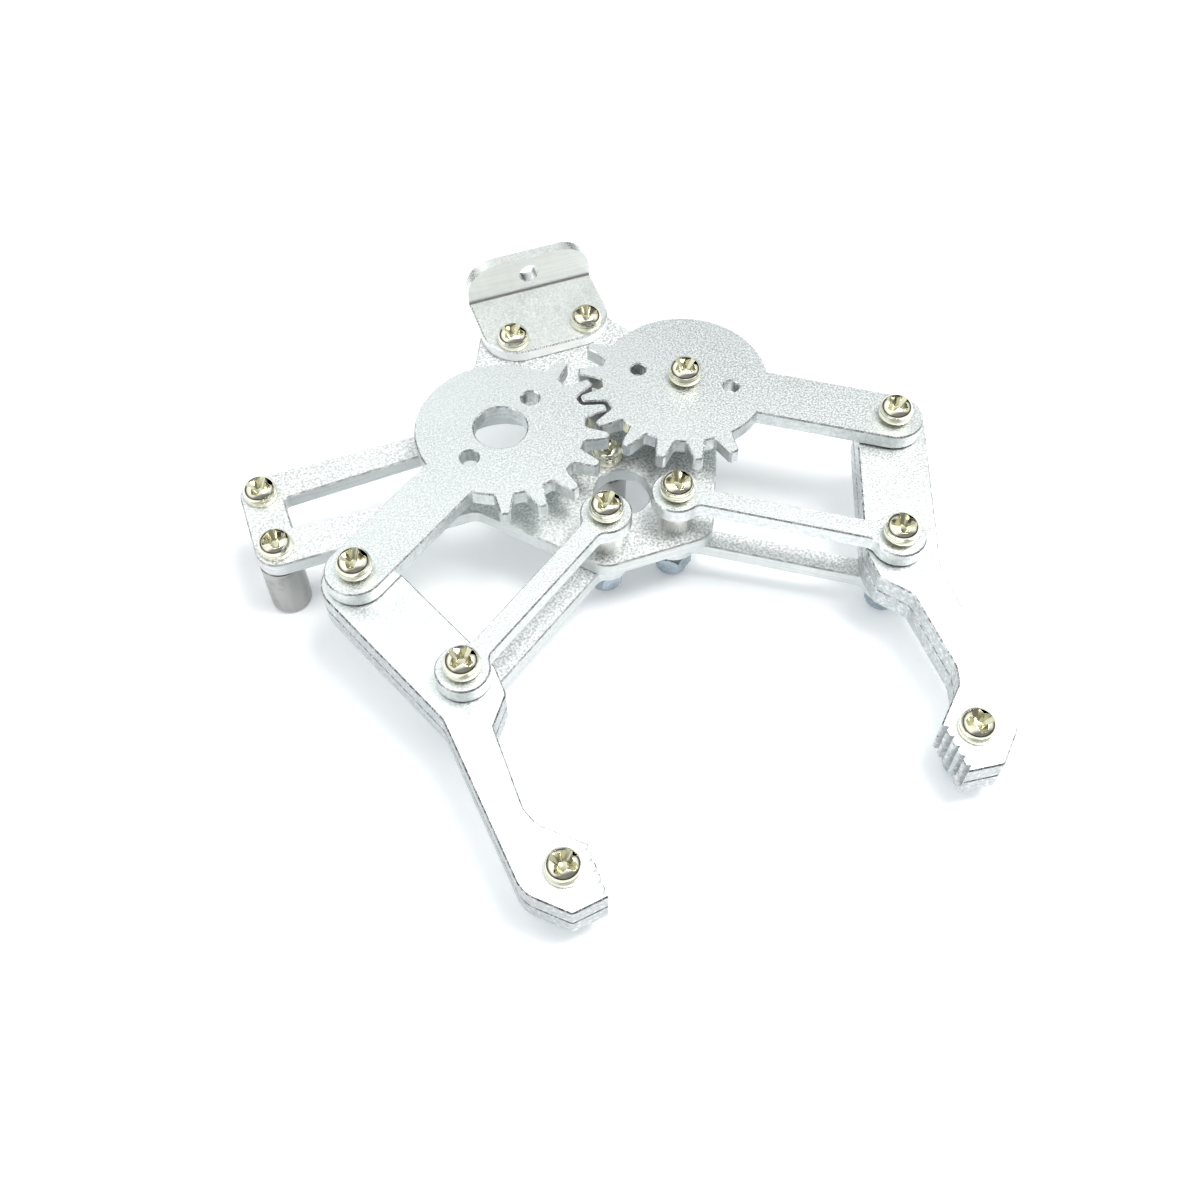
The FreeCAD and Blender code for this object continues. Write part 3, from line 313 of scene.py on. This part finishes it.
def head_mesh():
    """Pan head with its recess, seat at Z 0, in mm."""
    prof = [(0.0, 0.02), (2.31, 0.0), (2.40, 0.04), (2.43, 0.12), (2.43, 0.75), (2.42, 0.83), (2.39, 0.88)]
    hr, hs, ht = 2.37, 0.90, 2.40
    steps = 18
    for k in range(steps + 1):
        a = math.pi / 2 * k / steps
        r = hr * math.cos(a) ** 0.82
        z = hs + (ht - hs) * math.sin(a)
        if k == steps:
            r = 0.0
        prof.append((r, z))
    bm = lathe(prof, 96)
    me = bpy.data.meshes.new("pan_head")
    bm.to_mesh(me)
    bm.free()
    head = new_object("pan_head_tmp", me)
    cb = cross_solid(2.6, 0.80)
    cm = bpy.data.meshes.new("recess_plug")
    cb.to_mesh(cm)
    cb.free()
    plug = new_object("recess_plug_tmp", cm)
    mod = head.modifiers.new("cut", "BOOLEAN")
    mod.operation = "DIFFERENCE"
    mod.solver = "EXACT"
    mod.object = plug
    bv = head.modifiers.new("edge", "BEVEL")
    bv.width = 0.05
    bv.segments = 2
    bv.limit_method = "ANGLE"
    bv.angle_limit = math.radians(40)
    dg = bpy.context.evaluated_depsgraph_get()
    out = bpy.data.meshes.new_from_object(head.evaluated_get(dg))
    bpy.data.objects.remove(head)
    bpy.data.objects.remove(plug)
    for poly in out.polygons:
        c = poly.center
        r = math.hypot(c.x, c.y)
        dome = hs + (ht - hs) * math.sqrt(max(0.0, 1.0 - min(1.0, r / hr) ** 2))
        # faces inside the recess take the second material, which paints shade into the recess
        poly.material_index = 1 if r < 2.04 and 0.5 < c.z < dome - 0.12 else 0
    return out


def thread_mesh(length, major=1.25, minor=0.98, pitch=0.45, segs=40):
    """Threaded shank from Z 0.15 down to -length, closed at both ends, in mm."""
    bm = bmesh.new()
    step = pitch / 6.0
    rows = int(round((length + 0.15) / step))
    rings = []
    for i in range(rows + 1):
        z = 0.15 - (length + 0.15) * i / rows
        ring = []
        for k in range(segs):
            a = 2 * math.pi * k / segs
            t = ((z / pitch) + k / segs) % 1.0
            wave = 1.0 - abs(2.0 * t - 1.0)
            wave = min(1.0, max(0.0, (wave - 0.12) / 0.70))
            r = minor + (major - minor) * wave
            end = (z + length)
            if end < 0.28:
                r = min(r, minor - 0.12 + end * 0.9)
            ring.append(bm.verts.new((r * math.cos(a), r * math.sin(a), z)))
        rings.append(ring)
    for a, b in zip(rings[:-1], rings[1:]):
        for k in range(segs):
            j = (k + 1) % segs
            bm.faces.new((a[k], b[k], b[j], a[j]))
    bm.faces.new(rings[0])
    bm.faces.new(list(reversed(rings[-1])))
    bmesh.ops.recalc_face_normals(bm, faces=bm.faces)
    return bm


def nut_bmesh():
    """Lock nut hanging from its seat at Z 0: chamfered hexagon, rolled collar, insert ring; in mm."""
    segs = 120
    af = 5.0
    rows = [(0.0, None, 0.0), (0.0, "h", 0.0), (-0.10, "h", 0.10), (-0.22, "h", 0.22), (-0.36, "h", 0.6), (-0.8, "h", 9.0), (-1.9, "h", 9.0),
            (-2.24, "h", 0.5), (-2.38, "h", 0.22), (-2.5, "h", 0.05)]
    bm = bmesh.new()
    rings = []

    def hexr(a):
        b = (a + math.pi / 6) % (math.pi / 3) - math.pi / 6
        return af / 2.0 / math.cos(b)

    prof = []
    # each entry: z, function of the angle
    for z, kind, grow in rows:
        if kind is None:
            prof.append((z, lambda a: 1.25))
        else:
            prof.append((z, lambda a, g=grow: min(hexr(a), 2.46 + g * 0.85)))
    for z, r in ((-2.52, 2.36), (-2.9, 2.35), (-3.3, 2.33), (-3.52, 2.26), (-3.68, 2.12), (-3.77, 1.96), (-3.8, 1.84), (-3.76, 1.76), (-3.62, 1.74)):
        prof.append((z, lambda a, q=r: q))
    prof.append((-3.60, lambda a: 1.26))
    for z, f in prof:
        ring = []
        for k in range(segs):
            a = 2 * math.pi * k / segs
            r = f(a)
            ring.append(bm.verts.new((r * math.cos(a), r * math.sin(a), z)))
        rings.append(ring)
    count = len(rings)
    for i in range(count):
        a, b = rings[i], rings[(i + 1) % count]
        for k in range(segs):
            j = (k + 1) % segs
            f = bm.faces.new((a[k], b[k], b[j], a[j]))
            f.material_index = 1 if i == count - 2 else 0
    bmesh.ops.recalc_face_normals(bm, faces=bm.faces)
    return bm


def shade(me, angle=32.0):
    """Smooth shading with creases kept at the given angle."""
    for p in me.polygons:
        p.use_smooth = True
    me.set_sharp_from_angle(angle=math.radians(angle))


HEAD = head_mesh()
THREADS = {}


def gather(name, bits, mats, body, node):
    """Join (mesh or bmesh, matrix) bits into one piece that stands for a CAD node."""
    bm = bmesh.new()
    for me, mat in bits:
        tmp = me.copy()
        tmp.transform(mat)
        bm.from_mesh(tmp)
        bpy.data.meshes.remove(tmp)
    bmesh.ops.scale(bm, vec=(MM, MM, MM), verts=bm.verts)
    out = bpy.data.meshes.new(name)
    bm.to_mesh(out)
    bm.free()
    for m in mats:
        out.materials.append(m)
    shade(out)
    o = new_object(name, out)
    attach(o, body)
    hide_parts(node)
    return o


def shank(length):
    if length not in THREADS:
        bm = thread_mesh(length)
        me = bpy.data.meshes.new("shank_%d" % int(length))
        bm.to_mesh(me)
        bm.free()
        THREADS[length] = me
    return THREADS[length]


NUT = bpy.data.meshes.new("lock_nut")
_b = nut_bmesh()
_b.to_mesh(NUT)
_b.free()


def spot(x, y, z, turn):
    return Matrix.Translation((x, y, z)) @ Matrix.Rotation(math.radians(turn), 4, "Z")


def screws(node, body, length, places):
    bits = []
    for x, y, z, turn in places:
        m = spot(x, y, z, turn)
        bits += [(HEAD, m), (shank(length), m)]
    gather("screw_" + node, bits, [M_SCREW, M_RECESS_SHADE], body, node)


def nuts(node, body, places):
    gather("nut_" + node, [(NUT, spot(*p)) for p in places], [M_NUT, M_NYLON], body, node)


by = GY + 20.0
screws("bracket_screws", "base", 10.0, [(-6, by, ZT + 2, 43), (6, by, ZT + 2, 74)])
nuts("bracket_nuts", "base", [(-6, by, ZT - 2.5, 17), (6, by, ZT - 2.5, 34)])
corners = [(-GX - 35.0, 5.0), (-GX - 35.0, -5.0), (-GX + 14.5, 5.0), (-GX + 14.5, -5.0)]
screws("servo_screws", "base", 6.0, [(x, GY + y, ZT, 20 + 37 * k) for k, (x, y) in enumerate(corners, start=1)])
screws("gear_axle_screw", "base", 14.0, [(GX, GY, SEAT, 25)])
nuts("gear_axle_nut", "base", [(GX, GY, ZT - 2.5, 8)])
inner = [(s * (GX - 9.0), GY - 19.5) for s in (-1.0, 1.0)]
screws("link_pivot_screws", "base", 16.0, [(x, y, SEAT, 40 * k) for k, (x, y) in enumerate(inner, start=1)])
nuts("link_pivot_nuts", "base", [(x, y, L_NUT - (0.8, 1.7)[k - 1], 10 + 23 * k) for k, (x, y) in enumerate(inner, start=1)])
for k, (side, s) in enumerate(SIDES.items(), start=1):
    body = side + "_finger"
    x, y = arm_pivot(s)
    screws(side + "_arm_pivot_screw", body, 14.0, [(x, y, SEAT, 15 + 50 * k)])
    nuts(side + "_arm_pivot_nut", body, [(x, y, F_LOW, 5 * k)])
    screws(side + "_link_end_screw", body, 16.0, [(x - s * 9.0, y - 19.5, SEAT, 33 * k)])
    nuts(side + "_link_end_nut", body, [(x - s * 9.0, y - 19.5, L_NUT, 14 * k)])
    screws(side + "_tip_screw", body, 10.0, [(x - s * 12.5, y - 48.3, F_TOP, 8 + 36 * k)])
    nuts(side + "_tip_nut", body, [(x - s * 12.5, y - 48.3, F_LOW, 21 * k)])

# ------------------------------------------------------------------ floor
# The claw leans forward on its front posts and the two tip screws.
slope = 6.25 / 57.85
half = 1.6
fy, fz = -39.65 * MM, -17.72 * MM


def floor_z(y):
    return fz - slope * (y - fy)


me = bpy.data.meshes.new("floor")
me.from_pydata([(-half, fy - half, floor_z(fy - half)), (half, fy - half, floor_z(fy - half)),
                (half, fy + half, floor_z(fy + half)), (-half, fy + half, floor_z(fy + half))], [], [(0, 1, 2, 3)])
floor = new_object("floor", me)
g = Graph("floor_white")
n = g.noise(9.0, 2.0, 0.5)
g.link(g.mix(g.ramp(n, 0.3, 0.7), (0.885, 0.89, 0.90), (0.90, 0.905, 0.912)), g.bsdf.inputs["Base Color"])
g.link(g.math("ADD", 0.30, g.math("MULTIPLY", n, 0.05)), g.bsdf.inputs["Roughness"])
g.bsdf.inputs["Specular IOR Level"].default_value = 0.25
g.bsdf.inputs["Emission Color"].default_value = (0.92, 0.97, 1.0, 1.0)
g.bsdf.inputs["Emission Strength"].default_value = 0.22
clear = g.add("ShaderNodeBsdfTransparent")
swap = g.add("ShaderNodeMixShader")
g.link(g.geo.outputs["Backfacing"], swap.inputs["Fac"])
g.link(g.bsdf.outputs["BSDF"], swap.inputs[1])
g.link(clear.outputs["BSDF"], swap.inputs[2])
g.link(swap.outputs["Shader"], g.out.inputs["Surface"])
floor.data.materials.append(g.mat)

# ------------------------------------------------------------------ light
SKY, FRONT, LOW = 1.15, 0.22, 0.08
world = scene.world or bpy.data.worlds.new("studio")
scene.world = world
world.use_nodes = True
wt = world.node_tree
wt.nodes.clear()
wo = wt.nodes.new("ShaderNodeOutputWorld")
bg = wt.nodes.new("ShaderNodeBackground")
tc = wt.nodes.new("ShaderNodeTexCoord")
sx = wt.nodes.new("ShaderNodeSeparateXYZ")
wt.links.new(tc.outputs["Generated"], sx.inputs[0])


def w_math(op, a, b):
    n = wt.nodes.new("ShaderNodeMath")
    n.operation = op
    for i, v in enumerate((a, b)):
        if isinstance(v, (int, float)):
            n.inputs[i].default_value = v
        else:
            wt.links.new(v, n.inputs[i])
    return n.outputs[0]


def w_ramp(v, lo, hi, to_lo, to_hi):
    n = wt.nodes.new("ShaderNodeMapRange")
    n.interpolation_type = "SMOOTHSTEP"
    wt.links.new(v, n.inputs["Value"])
    for key, x in (("From Min", lo), ("From Max", hi), ("To Min", to_lo), ("To Max", to_hi)):
        n.inputs[key].default_value = x
    return n.outputs["Result"]


# bright tent overhead, darker behind on the right, a touch brighter on the left, a dim room in front and low around
rear = w_math("MULTIPLY", w_math("MAXIMUM", sx.outputs["X"], 0.0), w_ramp(sx.outputs["Y"], 0.30, 0.62, 0.0, 1.0))
level = w_math("SUBTRACT", SKY, w_math("MULTIPLY", rear, 2.15))
left = w_math("MULTIPLY", w_math("MAXIMUM", w_math("SUBTRACT", 0.12, sx.outputs["X"]), 0.0), 0.6)
level = w_math("ADD", level, w_math("MINIMUM", left, 0.14))
level = w_math("MULTIPLY", level, w_ramp(sx.outputs["Y"], -0.62, -0.22, FRONT, 1.0))
level = w_math("MULTIPLY", level, w_ramp(sx.outputs["Z"], 0.14, 0.52, LOW, 1.0))
wt.links.new(level, bg.inputs["Strength"])
bg.inputs["Color"].default_value = (0.965, 0.99, 1.0, 1)
plain = wt.nodes.new("ShaderNodeBackground")
plain.inputs["Color"].default_value = (0.93, 0.935, 0.94, 1)
ray = wt.nodes.new("ShaderNodeLightPath")
pick = wt.nodes.new("ShaderNodeMixShader")
wt.links.new(ray.outputs["Is Camera Ray"], pick.inputs["Fac"])
wt.links.new(bg.outputs["Background"], pick.inputs[1])
wt.links.new(plain.outputs["Background"], pick.inputs[2])
wt.links.new(pick.outputs["Shader"], wo.inputs["Surface"])


def area(name, pos, aim, size, power, color=(1, 1, 1)):
    data = bpy.data.lights.new(name, "AREA")
    data.shape = "RECTANGLE"
    data.size, data.size_y = size
    data.energy = power
    data.color = color
    o = bpy.data.objects.new(name, data)
    scene.collection.objects.link(o)
    o.location = pos
    o.rotation_euler = (Vector(aim) - Vector(pos)).to_track_quat("-Z", "Y").to_euler()
    return o


aim = (0.0, -0.055, 0.0)
area("key_overhead", (0.16, -0.10, 0.50), aim, (0.22, 0.22), 2.0, (1.0, 0.99, 0.97))

# ------------------------------------------------------------------ camera
az, el, roll = math.radians(-20.582), math.radians(56.267), math.radians(0.611)
back = Vector((math.sin(az) * math.cos(el), -math.cos(az) * math.cos(el), math.sin(el)))
right = (-back).cross(Vector((0, 0, 1))).normalized()
up = right.cross(-back)
r2 = math.cos(roll) * right + math.sin(roll) * up
u2 = -math.sin(roll) * right + math.cos(roll) * up
target = Vector((-9.517, -28.811 - 32.0, -5.2))
pos = (target + back * 185.002) * MM
cam_data = bpy.data.cameras.new("camera")
cam_data.sensor_fit = "HORIZONTAL"
cam_data.sensor_width = 36.0
cam_data.lens = 40.489
cam_data.clip_start = 0.005
cam = bpy.data.objects.new("camera", cam_data)
scene.collection.objects.link(cam)
rot = Matrix((r2, u2, back)).transposed()
cam.matrix_world = Matrix.Translation(pos) @ rot.to_4x4()
scene.camera = cam
scene.view_settings.view_transform = "Standard"
scene.view_settings.look = "None"
scene.view_settings.exposure = 0.0

bpy.context.view_layer.update()
